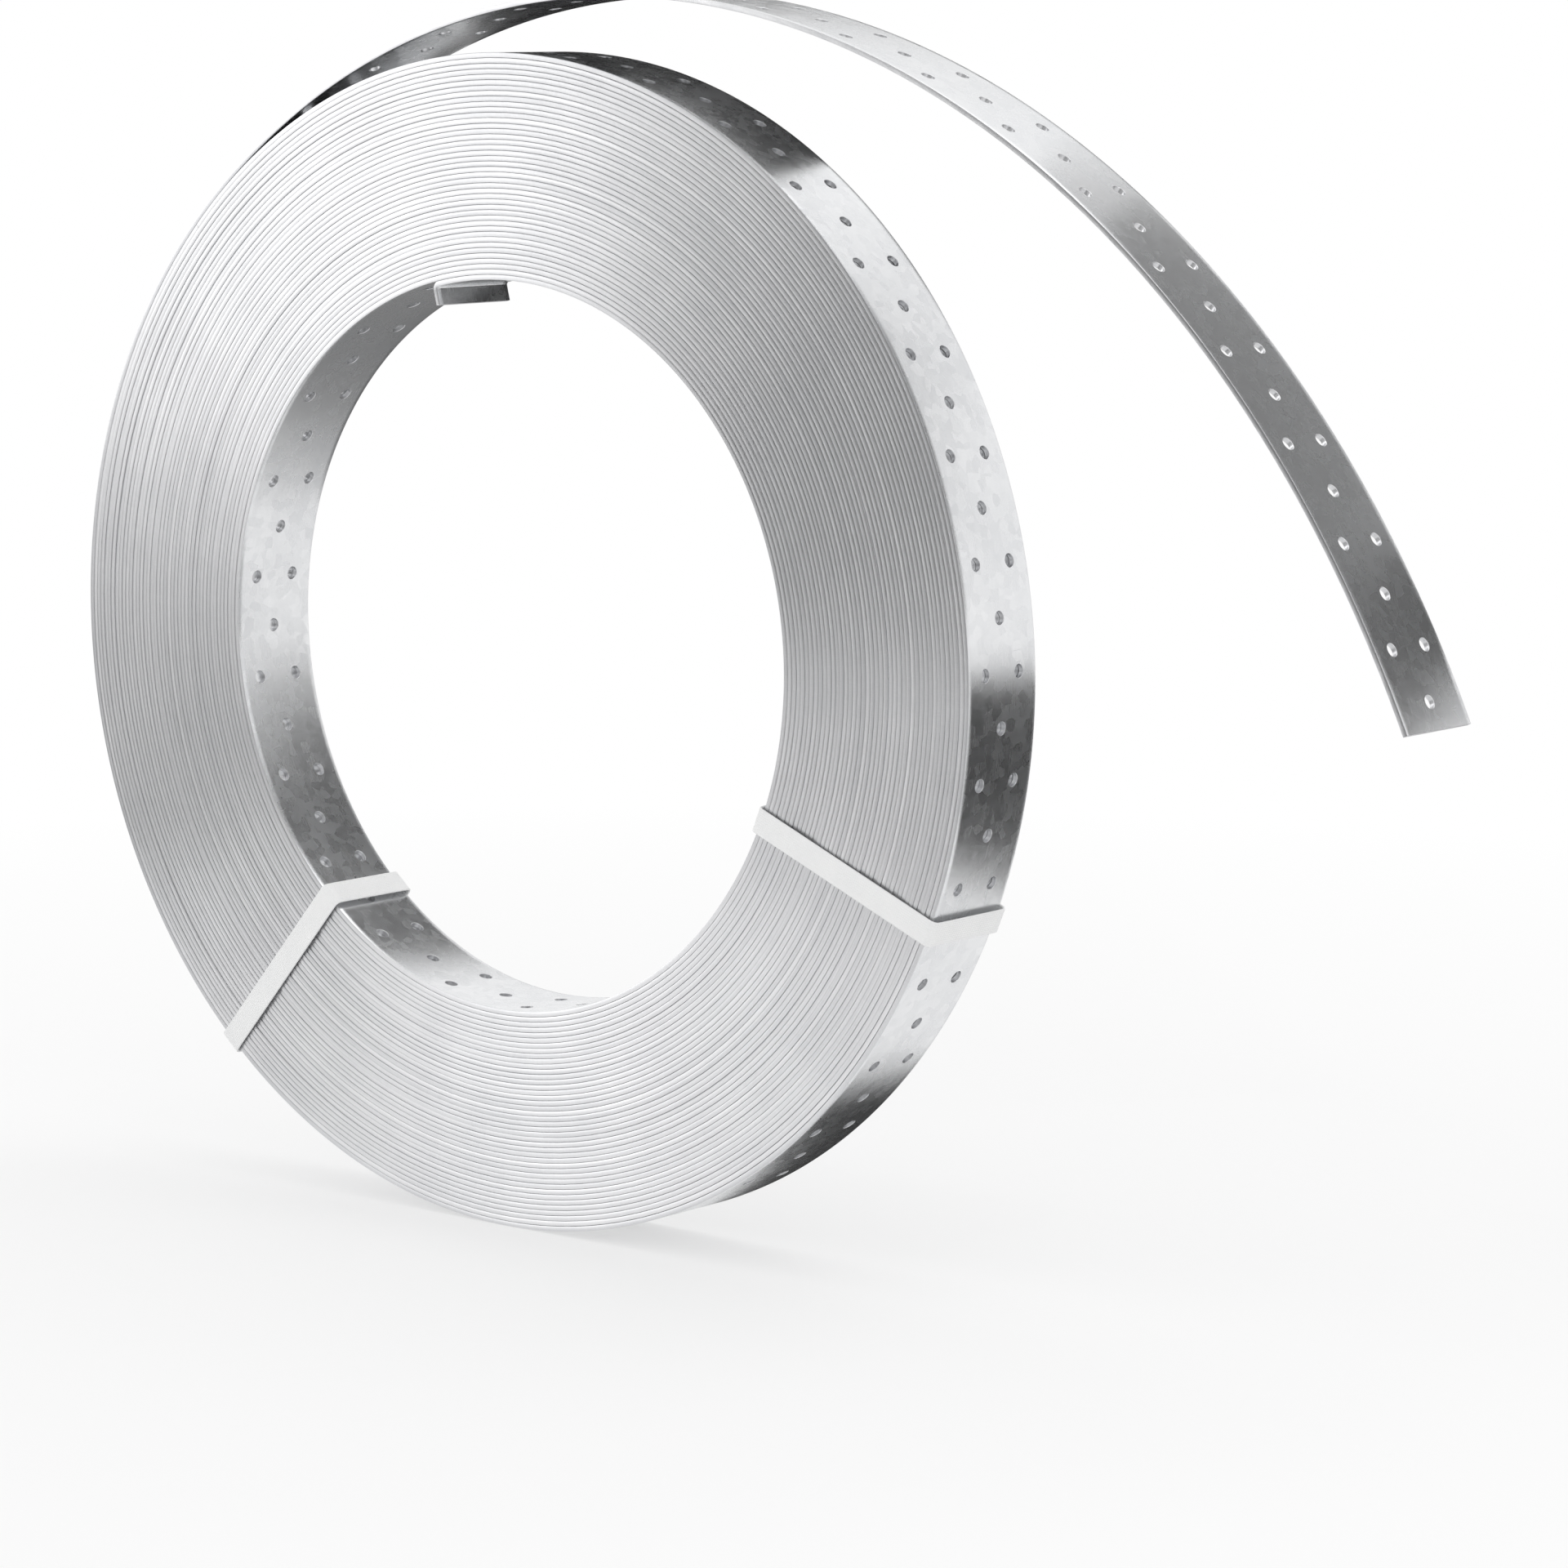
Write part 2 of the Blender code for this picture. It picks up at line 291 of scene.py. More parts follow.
class Strip:
    """Faces of a strap that is laid along a path, with shared corners.

    The path gives a centreline point, the outward normal there and the shift along Y. Faces with
    mark 0 are the strap's broad faces, and faces with mark 1 are its slit and punched edges.
    """

    def __init__(self, place, unit):
        self.place = place
        self.unit = unit
        self.index = {}
        self.points = []
        self.faces = []
        self.marks = []
        self.flat = []

    def at(self, along, across, level):
        """The point at a distance along (in columns), across the strap and above its middle."""
        key = (round(along * ALONG_KEYS), round(across * SPACE_KEYS), round(level * SPACE_KEYS))
        if key not in self.index:
            self.index[key] = len(self.points)
            (x, z), (nx, nz), shift = self.place(along)
            self.points.append((x + nx * level, across + shift, z + nz * level + AXIS_HEIGHT))
            self.flat.append((along * self.unit, across + level))
        return self.index[key]

    def face(self, corners, mark=0):
        self.faces.append(corners)
        self.marks.append(mark)

    def cell(self, low, high, first, second):
        """A rectangle of the outer face, and the one behind it on the inner face."""
        for level in (HALF, -HALF):
            self.face(
                (
                    self.at(low, first, level),
                    self.at(high, first, level),
                    self.at(high, second, level),
                    self.at(low, second, level),
                )
            )

    def ring(self, low, high, rows):
        """Both faces and both edges of a length of strap without holes."""
        for first, second in zip(rows, rows[1:]):
            self.cell(low, high, first, second)
        self.edges(low, high)

    def edges(self, low, high):
        for side in (-1, 1):
            line = [(side * FACE_EDGE, HALF)]
            line += [(side * (FACE_EDGE + out), level) for out, level in EDGE_POINTS]
            line.append((side * FACE_EDGE, -HALF))
            for (y0, w0), (y1, w1) in zip(line, line[1:]):
                corners = (
                    self.at(low, y0, w0),
                    self.at(high, y0, w0),
                    self.at(high, y1, w1),
                    self.at(low, y1, w1),
                )
                self.face(corners, 1)

    def holed_column(self, column, heights):
        """One hole pitch of strap with its one or two punched holes."""
        patches = []
        for height in heights:
            patches.append((height - PATCH * GRID - NEAR, height + PATCH * GRID + NEAR))
            for level in (HALF, -HALF):
                self.hole_patch(column, height, level)
            self.hole_wall(column, height)
        first_part = PARTS // 2 - PATCH
        last_part = PARTS // 2 + PATCH
        for part in range(PARTS):
            low = column + part / PARTS
            high = column + (part + 1) / PARTS
            for first, second in zip(ROWS, ROWS[1:]):
                middle = (first + second) / 2
                if first_part <= part < last_part and any(a < middle < b for a, b in patches):
                    continue
                self.cell(low, high, first, second)
            self.edges(low, high)

    def circle(self, column, height, radius, level):
        ring = []
        for side in range(HOLE_SIDES):
            angle = 2 * pi * side / HOLE_SIDES
            along = column + 0.5 + radius * cos(angle) / HOLE_PITCH
            ring.append(self.at(along, height + radius * sin(angle), level))
        return ring

    def hole_patch(self, column, height, level):
        """The square around a hole, joined to the hole's chamfered mouth."""
        steps = [(PATCH, row) for row in range(PATCH)]
        steps += [(col, PATCH) for col in range(PATCH, -PATCH, -1)]
        steps += [(-PATCH, row) for row in range(PATCH, -PATCH, -1)]
        steps += [(col, -PATCH) for col in range(-PATCH, PATCH)]
        steps += [(PATCH, row) for row in range(-PATCH, 0)]
        square = []
        for col, row in steps:
            square.append(self.at(column + 0.5 + col / PARTS, height + row * GRID, level))
        mouth = self.circle(column, height, HOLE_RADIUS + HOLE_CHAMFER, level)
        count = len(square)
        for index in range(count):
            here, after = square[index], square[(index + 1) % count]
            first = mouth[2 * index]
            second = mouth[2 * index + 1]
            third = mouth[(2 * index + 2) % HOLE_SIDES]
            self.face((here, first, second))
            self.face((here, second, after))
            self.face((after, second, third))

    def hole_wall(self, column, height):
        """The punched wall of a hole, with a chamfer at each end."""
        inner = HALF - HOLE_CHAMFER
        rings = (
            self.circle(column, height, HOLE_RADIUS + HOLE_CHAMFER, HALF),
            self.circle(column, height, HOLE_RADIUS, inner),
            self.circle(column, height, HOLE_RADIUS, -inner),
            self.circle(column, height, HOLE_RADIUS + HOLE_CHAMFER, -HALF),
        )
        for upper, lower in zip(rings, rings[1:]):
            for side in range(HOLE_SIDES):
                after = (side + 1) % HOLE_SIDES
                self.face((upper[side], upper[after], lower[after], lower[side]), 1)

    def cap(self, along, rows):
        """Closes the strap with its square cut."""
        line = [self.at(along, row, HALF) for row in rows]
        line += [self.at(along, FACE_EDGE + out, level) for out, level in EDGE_POINTS]
        line += [self.at(along, row, -HALF) for row in reversed(rows)]
        line += [self.at(along, -FACE_EDGE - out, level) for out, level in reversed(EDGE_POINTS)]
        self.face(tuple(line), 1)

    def piece(self, name, materials):
        mesh = bpy.data.meshes.new(name)
        mesh.from_pydata(self.points, [], self.faces)
        mesh.polygons.foreach_set("material_index", self.marks)
        sheet = mesh.uv_layers.new(name="along_the_strap")
        corners = [0] * len(mesh.loops)
        mesh.loops.foreach_get("vertex_index", corners)
        flat = []
        for corner in corners:
            flat.extend((self.flat[corner][0] * UV_SCALE, self.flat[corner][1] * UV_SCALE))
        sheet.data.foreach_set("uv", flat)
        for material in materials:
            mesh.materials.append(material)
        return link_mesh(name, mesh, STRAP_SHARP)


def heights_of(number):
    """Every other column holds two holes, the ones between hold one."""
    if number % 2:
        return (-PAIR_OFFSET, PAIR_OFFSET)
    return (0.0,)


def place_outer(along):
    """Path of the outermost turn and the free end, in hole columns."""
    if along <= RIM_FACETS:
        angle = WOUND_ANGLE - 2 * pi + along * RIM_STEP
        return *spiral_point(angle), wander(angle)
    return *tail_point((along - RIM_FACETS) * HOLE_PITCH), 0.0


def make_outer(materials):
    strip = Strip(place_outer, HOLE_PITCH)
    columns = RIM_FACETS + TAIL_COLUMNS
    for column in range(columns):
        strip.holed_column(column, heights_of(columns - 1 - column))
    strip.cap(0, ROWS)
    strip.cap(columns, ROWS)
    return strip.piece("strap_outer_turn_and_free_end", materials)


def place_middle(along):
    """Path of the turns between the innermost and the outermost, in steps of MIDDLE_STEP."""
    angle = along * MIDDLE_STEP
    return *spiral_point(angle), wander(angle)


def make_middle(materials):
    """The turns of which only the edges show, without their hidden holes."""
    start = 2 * pi / MIDDLE_STEP + SEAM
    end = (WOUND_ANGLE - 2 * pi) / MIDDLE_STEP - SEAM
    steps = int(end - start)
    strip = Strip(place_middle, MIDDLE_STEP * MEAN_RADIUS)
    stops = [start + (end - start) * step / steps for step in range(steps + 1)]
    rows = (-FACE_EDGE, FACE_EDGE)
    for low, high in zip(stops, stops[1:]):
        strip.ring(low, high, rows)
    strip.cap(stops[0], rows)
    strip.cap(stops[-1], rows)
    return strip.piece("strap_wound_turns", materials)


def place_inner(along):
    """Path of the innermost turn. Below BEND_END it runs down through the bend and the tab."""
    if along >= BEND_END:
        angle = along * BORE_STEP
        return *spiral_point(angle), wander(angle)
    outward = (cos(INNER_END_ANGLE), sin(INNER_END_ANGLE))
    clockwise = (outward[1], -outward[0])
    base = INNER_CENTRE - BEND_RADIUS
    if along >= BEND_END - BEND_COLUMNS:
        turn = (BEND_END - along) / BEND_COLUMNS * pi / 2
        reach = HALF + BEND_RADIUS * (1 - sin(turn))
        height = base + BEND_RADIUS * cos(turn)
    else:
        part = min(1.0, (BEND_END - BEND_COLUMNS - along) / TAB_COLUMNS)
        turn = pi / 2
        reach = HALF
        height = base - part * (base - BORE_RADIUS + INNER_TAB)
    x = outward[0] * height + clockwise[0] * reach
    z = outward[1] * height + clockwise[1] * reach
    nx = outward[0] * cos(turn) - clockwise[0] * sin(turn)
    nz = outward[1] * cos(turn) - clockwise[1] * sin(turn)
    return (x, z), (nx, nz), wander(0.0)


def make_inner(materials):
    strip = Strip(place_inner, HOLE_PITCH)
    tip = BEND_END - BEND_COLUMNS - TAB_COLUMNS
    stops = [tip, tip + TAB_COLUMNS / 2, tip + TAB_COLUMNS]
    for step in range(1, BEND_STEPS + 1):
        stops.append(tip + TAB_COLUMNS + BEND_COLUMNS * step / BEND_STEPS)
    for step in range(1, LEAD_STEPS + 1):
        stops.append(BEND_END + (1 - BEND_END) * step / LEAD_STEPS)
    for low, high in zip(stops, stops[1:]):
        strip.ring(low, high, ROWS)
    for column in range(1, BORE_FACETS):
        strip.holed_column(column, heights_of(column))
    strip.cap(tip, ROWS)
    strip.cap(BORE_FACETS, ROWS)
    return strip.piece("strap_innermost_turn", materials)


def tie_path():
    """Inner line of a tie round the coil's section, from its end under the lap to its end on top.

    Each point is radius, place along the coil's axis, and the outward direction there.
    """
    low, high, half = TIE_LOW + TIE_BEND, TIE_HIGH - TIE_BEND, TIE_HALF
    points = []
    start = TIE_MIDDLE - TIE_LAP / 2
    for step in range(LAP_STEPS + 1):
        points.append((start + (high - start) * step / LAP_STEPS, half, 0.0, 1.0))
    corners = (
        (high, half - TIE_BEND, 0.5),
        (high, TIE_BEND - half, 0.0),
        (low, TIE_BEND - half, -0.5),
        (low, half - TIE_BEND, -1.0),
    )
    goals = []
    for cx, cy, half_turns in corners[1:]:
        angle = half_turns * pi
        goals.append((cx + TIE_BEND * cos(angle), cy + TIE_BEND * sin(angle)))
    goals.append((TIE_MIDDLE + TIE_LAP / 2, half))
    for (cx, cy, half_turns), goal, straight in zip(corners, goals, STRAIGHT_STEPS):
        for step in range(1, CORNER_STEPS + 1):
            angle = (half_turns - step / (2 * CORNER_STEPS)) * pi
            out_r, out_y = cos(angle), sin(angle)
            points.append((cx + TIE_BEND * out_r, cy + TIE_BEND * out_y, out_r, out_y))
        x0, y0, out_r, out_y = points[-1]
        for step in range(1, straight + 1):
            part = step / straight
            x = x0 + (goal[0] - x0) * part
            y = y0 + (goal[1] - y0) * part
            points.append((x, y, out_r, out_y))
    return points


def lift_over_lap(radius):
    """The upper end climbs onto the lower one just before the lap."""
    start = TIE_MIDDLE - TIE_LAP / 2 - LAP_RAMP_START
    return TIE_THICKNESS * eased((radius - start) / LAP_RAMP_LENGTH)


def make_tie(name, angle, node, material):
    path = tie_path()
    last_straight = len(path) - 1 - STRAIGHT_STEPS[-1]
    turn = (cos(angle), sin(angle))
    side = (-sin(angle), cos(angle))
    half = TIE_WIDTH / 2
    across = (-half, -half + TIE_SOFT, -half * 0.5, 0.0, half * 0.5, half - TIE_SOFT, half)
    crown = (TIE_CROWN, 0.0, 0.0, 0.0, 0.0, 0.0, TIE_CROWN)
    points = []
    flat = []
    length = 0.0
    before = path[0]
    for number, (radius, place, out_r, out_y) in enumerate(path):
        length += hypot(radius - before[0], place - before[1])
        before = (radius, place)
        lift = lift_over_lap(radius) if number >= last_straight else 0.0
        for level, inset in ((TIE_THICKNESS, 1), (0.0, -1)):
            for offset, soft in zip(across, crown):
                height = level - inset * soft + lift
                r = radius + out_r * height
                y = place + out_y * height
                x = turn[0] * r + side[0] * offset
                z = turn[1] * r + side[1] * offset
                points.append((x, y, z + AXIS_HEIGHT))
                flat.append((length * UV_SCALE, (offset + level) * UV_SCALE))
    wide = len(across)
    ring = [*range(wide), *reversed(range(wide, 2 * wide))]
    faces = []
    for row in range(len(path) - 1):
        base = row * 2 * wide
        above = base + 2 * wide
        for here, after in zip(ring, ring[1:] + ring[:1]):
            faces.append((base + here, base + after, above + after, above + here))
    faces.append(tuple(ring))
    last = (len(path) - 1) * 2 * wide
    faces.append(tuple(last + corner for corner in ring))
    mesh = bpy.data.meshes.new(name)
    mesh.from_pydata(points, [], faces)
    sheet = mesh.uv_layers.new(name="along_the_tie")
    for loop in mesh.loops:
        sheet.data[loop.index].uv = flat[loop.vertex_index]
    mesh.materials.append(material)
    made = link_mesh(name, mesh, TIE_SHARP)
    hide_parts(node)
    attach(made, "root")


# Depth of the relief that the bumps stand for, and how many zinc spangles and how many steps of
# the turns' tones go into a metre
RELIEF = 0.0002
SPANGLES = 260.0
TURN_TONES = 400.0


class Nodes:
    """A short way to write a node tree."""

    def __init__(self, material):
        material.use_nodes = True
        self.tree = material.node_tree
        self.shader = self.tree.nodes["Principled BSDF"]

    def add(self, kind, **values):
        node = self.tree.nodes.new(kind)
        for name, value in values.items():
            setattr(node, name, value)
        return node

    def link(self, source, target):
        self.tree.links.new(source, target)

    def noise(self, vector, scale, detail=2.0):
        node = self.add("ShaderNodeTexNoise")
        self.link(vector, node.inputs["Vector"])
        node.inputs["Scale"].default_value = scale
        node.inputs["Detail"].default_value = detail
        return node.outputs["Fac"]

    def stretch(self, vector, scale):
        node = self.add("ShaderNodeMapping")
        self.link(vector, node.inputs["Vector"])
        node.inputs["Scale"].default_value = scale
        return node.outputs["Vector"]

    def split(self, vector):
        node = self.add("ShaderNodeSeparateXYZ")
        self.link(vector, node.inputs["Vector"])
        return node.outputs

    def range(self, value, low, high, to_low, to_high):
        node = self.add("ShaderNodeMapRange")
        self.link(value, node.inputs["Value"])
        node.inputs["From Min"].default_value = low
        node.inputs["From Max"].default_value = high
        node.inputs["To Min"].default_value = to_low
        node.inputs["To Max"].default_value = to_high
        return node.outputs["Result"]

    def math(self, operation, first, second=0.0):
        node = self.add("ShaderNodeMath", operation=operation)
        for socket, value in zip(node.inputs, (first, second)):
            if isinstance(value, (int, float)):
                socket.default_value = value
            else:
                self.link(value, socket)
        return node.outputs["Value"]

    def blend(self, *parts):
        """The sum of some values, each times its share."""
        shares = [self.math("MULTIPLY", value, share) for value, share in parts]
        total = shares[0]
        for share in shares[1:]:
            total = self.math("ADD", total, share)
        return total

    def mix(self, factor, first, second):
        """A colour between two."""
        node = self.add("ShaderNodeMix", data_type="RGBA")
        self.link(factor, node.inputs["Factor"])
        node.inputs["A"].default_value = (*first, 1.0)
        node.inputs["B"].default_value = (*second, 1.0)
        return node.outputs["Result"]

    def bump(self, height, strength):
        node = self.add("ShaderNodeBump")
        node.inputs["Strength"].default_value = strength
        node.inputs["Distance"].default_value = RELIEF
        self.link(height, node.inputs["Height"])
        self.link(node.outputs["Normal"], self.shader.inputs["Normal"])

    def metal(self, tone, dark, pale, rough_dark, rough_pale):
        """Bare metal: a tone sets its colour and its roughness."""
        colour = self.mix(self.range(tone, 0.3, 0.7, 0.0, 1.0), dark, pale)
        self.link(colour, self.shader.inputs["Base Color"])
        roughness = self.range(tone, 0.25, 0.75, rough_dark, rough_pale)
        self.link(roughness, self.shader.inputs["Roughness"])
        self.shader.inputs["Metallic"].default_value = 1.0

    def along_strap(self, amount):
        """Streaks the highlight across the rolling lines."""
        tangent = self.add("ShaderNodeTangent", direction_type="UV_MAP", uv_map="along_the_strap")
        self.link(tangent.outputs["Tangent"], self.shader.inputs["Tangent"])
        self.shader.inputs["Anisotropic"].default_value = amount
        self.shader.inputs["Anisotropic Rotation"].default_value = 0.25


def steel_face_material():
    """Hot-dip galvanised strip: faint spangle, soft cloud and rolling lines along the strap."""
    material = bpy.data.materials.new("galvanised_strip")
    nodes = Nodes(material)
    coordinates = nodes.add("ShaderNodeTexCoord")
    place = coordinates.outputs["Object"]
    spangle = nodes.add("ShaderNodeTexVoronoi", feature="F1")
    nodes.link(place, spangle.inputs["Vector"])
    spangle.inputs["Scale"].default_value = SPANGLES
    spangle_tone = nodes.add("ShaderNodeSeparateColor")
    nodes.link(spangle.outputs["Color"], spangle_tone.inputs["Color"])
    cloud = nodes.noise(place, scale=22.0, detail=3.0)
    drawn = nodes.stretch(coordinates.outputs["UV"], (1.5, 260.0, 1.0))
    lines = nodes.noise(drawn, scale=3.0, detail=3.0)
    tone = nodes.blend((spangle_tone.outputs["Red"], 0.18), (cloud, 0.57), (lines, 0.25))
    dark, pale = (0.76, 0.77, 0.785), (0.87, 0.875, 0.885)
    nodes.metal(tone, dark, pale, rough_dark=0.33, rough_pale=0.20)
    nodes.bump(lines, strength=0.08)
    nodes.along_strap(0.35)
    return material


def steel_edge_material():
    """Slit and punched edges: bare sheared steel, a little rougher, with marks from the cut.

    Each turn has its own tone, by its distance from the coil's axis.
    """
    material = bpy.data.materials.new("slit_edge")
    nodes = Nodes(material)
    coordinates = nodes.add("ShaderNodeTexCoord")
    place = coordinates.outputs["Object"]
    x, _, z = nodes.split(place)
    height = nodes.math("SUBTRACT", z, AXIS_HEIGHT)
    reach = nodes.math("ADD", nodes.math("MULTIPLY", height, height), nodes.math("MULTIPLY", x, x))
    turns = nodes.add("ShaderNodeTexNoise", noise_dimensions="1D")
    per_turn = nodes.math("MULTIPLY", nodes.math("SQRT", reach), TURN_TONES)
    nodes.link(per_turn, turns.inputs["W"])
    turns.inputs["Scale"].default_value = 1.0
    turns.inputs["Detail"].default_value = 2.0
    drawn = nodes.stretch(coordinates.outputs["UV"], (60.0, 3.0, 1.0))
    marks = nodes.noise(drawn, scale=6.0, detail=3.0)
    cloud = nodes.noise(place, scale=30.0, detail=3.0)
    tone = nodes.blend((marks, 0.20), (cloud, 0.30), (turns.outputs["Fac"], 0.50))
    dark, pale = (0.70, 0.705, 0.72), (0.86, 0.86, 0.87)
    nodes.metal(tone, dark, pale, rough_dark=0.44, rough_pale=0.32)
    nodes.bump(marks, strength=0.12)
    nodes.along_strap(0.8)
    return material


# Pitch of the diamonds of the tie's grip, in texture units
DIAMOND = 0.018


def tie_material():
    """White polypropylene strapping with its embossed diamond grip."""
    material = bpy.data.materials.new("white_strapping")
    nodes = Nodes(material)
    coordinates = nodes.add("ShaderNodeTexCoord")
    u, v, _ = nodes.split(coordinates.outputs["UV"])
    pitch = 2 * pi / DIAMOND
    first = nodes.math("SINE", nodes.math("MULTIPLY", nodes.math("ADD", u, v), pitch))
    second = nodes.math("SINE", nodes.math("MULTIPLY", nodes.math("SUBTRACT", u, v), pitch))
    relief = nodes.range(nodes.math("MULTIPLY", first, second), -0.6, 0.6, 0.0, 1.0)
    cloud = nodes.noise(coordinates.outputs["Object"], scale=90.0)
    colour = nodes.mix(cloud, (0.84, 0.845, 0.85), (0.92, 0.92, 0.915))
    nodes.link(colour, nodes.shader.inputs["Base Color"])
    nodes.link(nodes.range(relief, 0.0, 1.0, 0.42, 0.30), nodes.shader.inputs["Roughness"])
    nodes.shader.inputs["Subsurface Weight"].default_value = 0.15
    nodes.shader.inputs["Subsurface Radius"].default_value = (0.001, 0.001, 0.001)
    nodes.bump(relief, strength=0.5)
    return material


# Floor: the share of plain white in it near the coil, which grows to all of it between two
# distances from the middle, and half the floor's side
FLOOR_WHITE = 0.5
FLOOR_NEAR = 0.40
FLOOR_FAR = 1.1
FLOOR_REACH = 60

# Light that the world gives, where plain white is 1
WORLD_LIGHT = 0.86

# Lamps: name, place, size, power; all look at LAMP_TARGET
LAMP_TARGET = (0.05, 0.0, 0.22)
LAMPS = (
    ("key", (-1.7, -1.1, 0.80), (1.4, 1.0), 5.0),
    ("fill", (2.2, -1.2, 1.4), (1.2, 1.2), 3.0),
    ("top", (0.3, 0.3, 2.2), (1.6, 1.6), 8.0),
)

# Cards that only the metal mirrors: name, middle, the two half sides, tone
CARDS = (
    ("card_front", (0.35, -1.0, 0.71), (0.85, 0.0, 0.0), (0.0, 0.0, 0.59), 0.08),
    ("card_front_floor", (0.25, -0.70, 0.01), (0.35, 0.0, 0.0), (0.0, 0.28, 0.0), 0.08),
    ("card_left", (-1.2, -0.33, 0.10), (0.0, 0.43, 0.0), (0.0, 0.0, 0.10), 0.10),
    ("card_left_floor", (-0.9, -0.2, 0.01), (0.30, 0.0, 0.0), (0.0, 0.30, 0.0), 0.10),
    ("card_back_floor", (-0.51, 0.72, 0.01), (0.49, -0.46, 0.0), (0.137, 0.146, 0.0), 0.22),
    ("card_back_middle", (-0.02, 0.35, 0.45), (0.20, 0.0, -0.03), (0.0, 0.0, 0.14), 0.06),
    ("card_behind_bore", (-0.05, 0.15, 0.285), (0.085, 0.0, 0.0), (0.0, 0.0, 0.06), 0.06),
    ("card_behind_rim", (0.03, 0.038, 0.460), (0.095, 0.0, -0.014), (0.0, 0.0, 0.024), 0.03),
    ("card_behind_tab", (0.080, 0.12, 0.382), (0.07, 0.0, 0.0), (0.0, 0.0, 0.062), 0.03),
    ("card_back_right", (0.444, 0.12, 0.454), (0.11, 0.0, -0.1075), (0.084, 0.0, 0.0864), 0.23),
    ("card_back_right_pale", (0.316, 0.12, 0.579), (0.0179, 0.0, -0.0175), (0.084, 0.0, 0.0864), 0.60),
    ("card_right", (0.47, 0.115, 0.31), (0.07, 0.0, 0.0), (0.0, 0.0, 0.035), 0.12),
    # Painted shadow: a black sheet that only the metal mirrors, where the floor lies in the coil's
    # shadow at its back right
    ("card_painted_floor_shadow_right", (0.43, 0.25, 0.095), (0.16, 0.0, 0.0), (0.0, 0.0, 0.105), 0.03),
    # Painted shadow: a dark sheet on the floor just behind where the coil rests, which only the metal
    # mirrors in place of its contact shadow
    ("card_painted_contact_shadow", (0.05, 0.086, 0.004), (0.11, 0.0, 0.0), (0.0, 0.056, 0.0), 0.05),
)

# Camera, from a fit of the photo's rims. The photo is turned by TILT against the resting facet.
TILT = radians(2.0)
AZIMUTH = radians(42.341)
ELEVATION = radians(5.328)
DISTANCE = 2.0538
YAW = radians(2.634)
PITCH_DOWN = radians(1.623)
ROLL = radians(1.993)
LENS = 121.77
SENSOR = 36.0
CLIP_START = 0.05
CLIP_END = 100.0


def make_camera():
    back = Vector((sin(AZIMUTH) * cos(ELEVATION), -cos(AZIMUTH) * cos(ELEVATION), sin(ELEVATION)))
    right = Vector((0.0, 0.0, 1.0)).cross(back).normalized()
    up = back.cross(right)
    aim = Matrix.Rotation(YAW, 3, "Y") @ Matrix((right, up, back))
    aim = Matrix.Rotation(ROLL, 3, "Z") @ Matrix.Rotation(PITCH_DOWN, 3, "X") @ aim
    tilt = Matrix.Rotation(-TILT, 3, "Y")
    data = bpy.data.cameras.new("photo_camera")
    data.lens = LENS
    data.sensor_width = SENSOR
    data.clip_start = CLIP_START
    data.clip_end = CLIP_END
    camera = bpy.data.objects.new("photo_camera", data)
    bpy.context.scene.collection.objects.link(camera)
    turned = (tilt @ aim.transposed()).to_4x4()
    place = tilt @ (back * DISTANCE) + Vector((0.0, 0.0, AXIS_HEIGHT))
    camera.matrix_world = Matrix.Translation(place) @ turned
    bpy.context.scene.camera = camera


def plain_mesh(name, corners):
    """A flat piece of the studio."""
    mesh = bpy.data.meshes.new(name)
    mesh.from_pydata(corners, [], [(0, 1, 2, 3)])
    made = bpy.data.objects.new(name, mesh)
    bpy.context.scene.collection.objects.link(made)
    made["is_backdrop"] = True
    return made


def seen_rays(tree):
    """One for the rays that show a background: camera, mirror and glass."""
    path = tree.nodes.new("ShaderNodeLightPath")
    seen = path.outputs["Is Camera Ray"]
    for name in ("Is Glossy Ray", "Is Transmission Ray"):
        more = tree.nodes.new("ShaderNodeMath")
        more.operation = "MAXIMUM"
        tree.links.new(seen, more.inputs[0])
        tree.links.new(path.outputs[name], more.inputs[1])
        seen = more.outputs["Value"]
    return seen


def make_floor():
    """Pale floor that keeps the shadow close to the coil and fades to plain white around it."""
    far = FLOOR_REACH
    floor = plain_mesh("floor", [(-far, -far, 0), (far, -far, 0), (far, far, 0), (-far, far, 0)])
    material = bpy.data.materials.new("pale_floor")
    nodes = Nodes(material)
    nodes.shader.inputs["Base Color"].default_value = (0.90, 0.90, 0.90, 1.0)
    nodes.shader.inputs["Roughness"].default_value = 0.9
    nodes.shader.inputs["Specular IOR Level"].default_value = 0.1
    place = nodes.add("ShaderNodeTexCoord").outputs["Object"]
    reach = nodes.add("ShaderNodeVectorMath", operation="LENGTH")
    nodes.link(place, reach.inputs[0])
    fade = nodes.range(reach.outputs["Value"], FLOOR_NEAR, FLOOR_FAR, FLOOR_WHITE, 1.0)
    white = nodes.add("ShaderNodeEmission")
    mixed = nodes.add("ShaderNodeMixShader")
    nodes.link(nodes.math("MULTIPLY", fade, seen_rays(nodes.tree)), mixed.inputs["Fac"])
    nodes.link(nodes.shader.outputs["BSDF"], mixed.inputs[1])
    nodes.link(white.outputs["Emission"], mixed.inputs[2])
    nodes.link(mixed.outputs["Shader"], nodes.tree.nodes["Material Output"].inputs["Surface"])
    floor.data.materials.append(material)


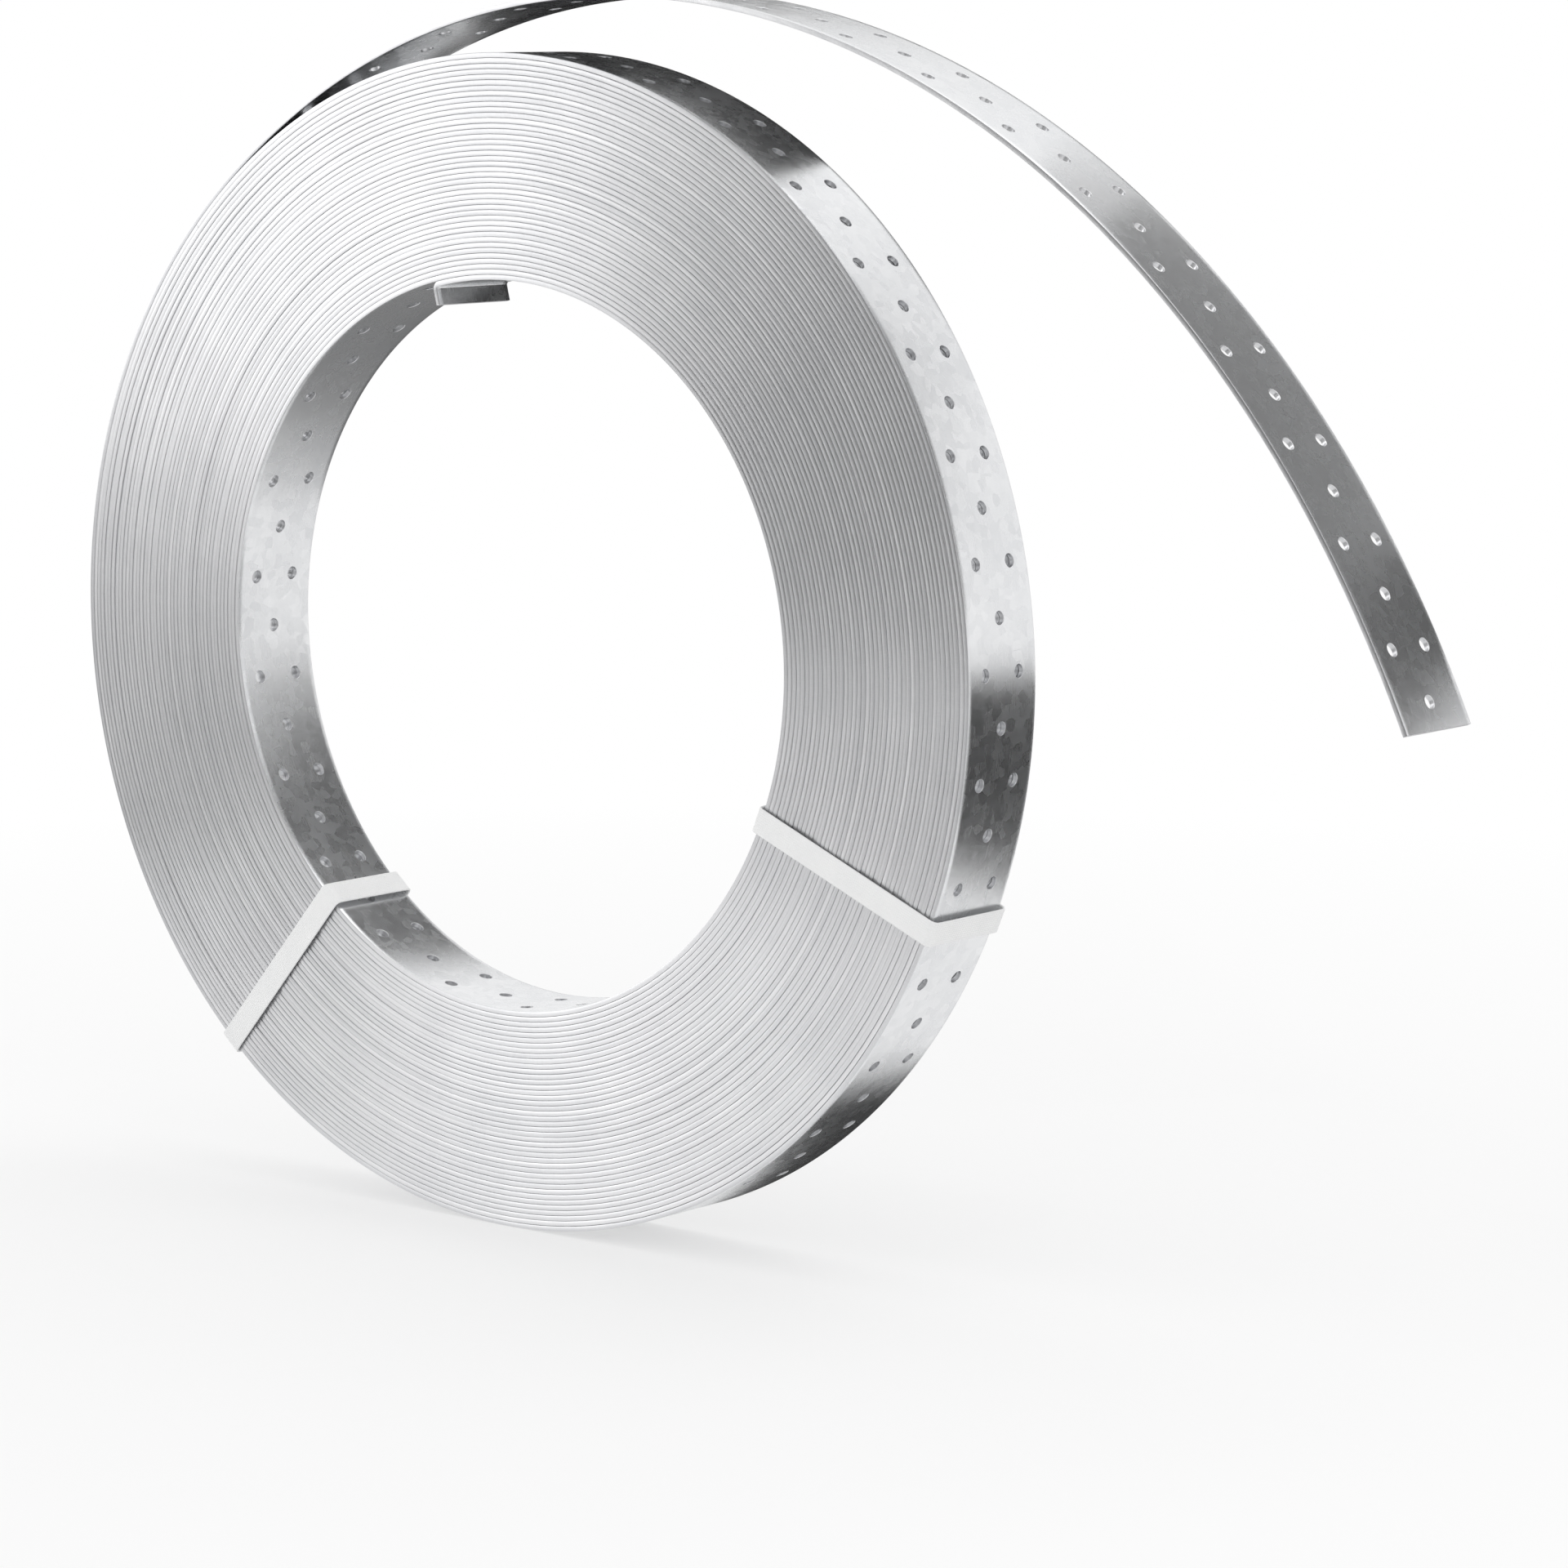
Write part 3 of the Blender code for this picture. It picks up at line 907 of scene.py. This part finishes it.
def make_world():
    """White for the rays that show it, and a softer white for the light that it gives."""
    world = bpy.data.worlds.new("studio")
    bpy.context.scene.world = world
    world.use_nodes = True
    tree = world.node_tree
    background = tree.nodes["Background"]
    background.inputs["Color"].default_value = (1.0, 1.0, 1.0, 1.0)
    strength = tree.nodes.new("ShaderNodeMapRange")
    strength.inputs["To Min"].default_value = WORLD_LIGHT
    strength.inputs["To Max"].default_value = 1.0
    tree.links.new(seen_rays(tree), strength.inputs["Value"])
    tree.links.new(strength.outputs["Result"], background.inputs["Strength"])


def make_card(name, middle, across, up, tone):
    """A studio card that only the metal mirrors."""
    centre, first, second = Vector(middle), Vector(across), Vector(up)
    corners = [centre - first - second, centre + first - second, centre + first + second]
    corners.append(centre - first + second)
    card = plain_mesh(name, corners)
    material = bpy.data.materials.new(name)
    nodes = Nodes(material)
    nodes.shader.inputs["Base Color"].default_value = (tone, tone, tone, 1.0)
    nodes.shader.inputs["Roughness"].default_value = 1.0
    nodes.shader.inputs["Specular IOR Level"].default_value = 0.0
    card.data.materials.append(material)
    card.visible_camera = False
    card.visible_diffuse = False
    card.visible_shadow = False
    card.visible_transmission = False
    card.visible_volume_scatter = False


def make_lamp(name, place, size, power):
    data = bpy.data.lights.new(name, "AREA")
    data.shape = "RECTANGLE"
    data.size, data.size_y = size
    data.energy = power
    lamp = bpy.data.objects.new(name, data)
    lamp.location = place
    aim = Vector(LAMP_TARGET) - Vector(place)
    lamp.rotation_euler = aim.to_track_quat("-Z", "Y").to_euler()
    bpy.context.scene.collection.objects.link(lamp)


def main():
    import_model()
    for item in list(bpy.context.scene.objects):
        if item.type in ("CAMERA", "LIGHT"):
            bpy.data.objects.remove(item)
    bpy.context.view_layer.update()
    steel = (steel_face_material(), steel_edge_material())
    for piece in (make_outer(steel), make_middle(steel), make_inner(steel)):
        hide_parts("perforated_strap")
        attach(piece, "root")
    white = tie_material()
    left, right = TIE_LOWER_LEFT_ANGLE, TIE_RIGHT_ANGLE
    make_tie("tie_lower_left_band", left, "tie_lower_left", white)
    make_tie("tie_right_band", right, "tie_right", white)
    make_floor()
    make_world()
    for lamp in LAMPS:
        make_lamp(*lamp)
    for card in CARDS:
        make_card(*card)
    make_camera()
    bpy.context.scene.view_settings.view_transform = "Standard"
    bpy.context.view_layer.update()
    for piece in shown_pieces():
        triangles = sum(len(polygon.vertices) - 2 for polygon in piece.data.polygons)
        print(piece.name, triangles, "triangles")


main()
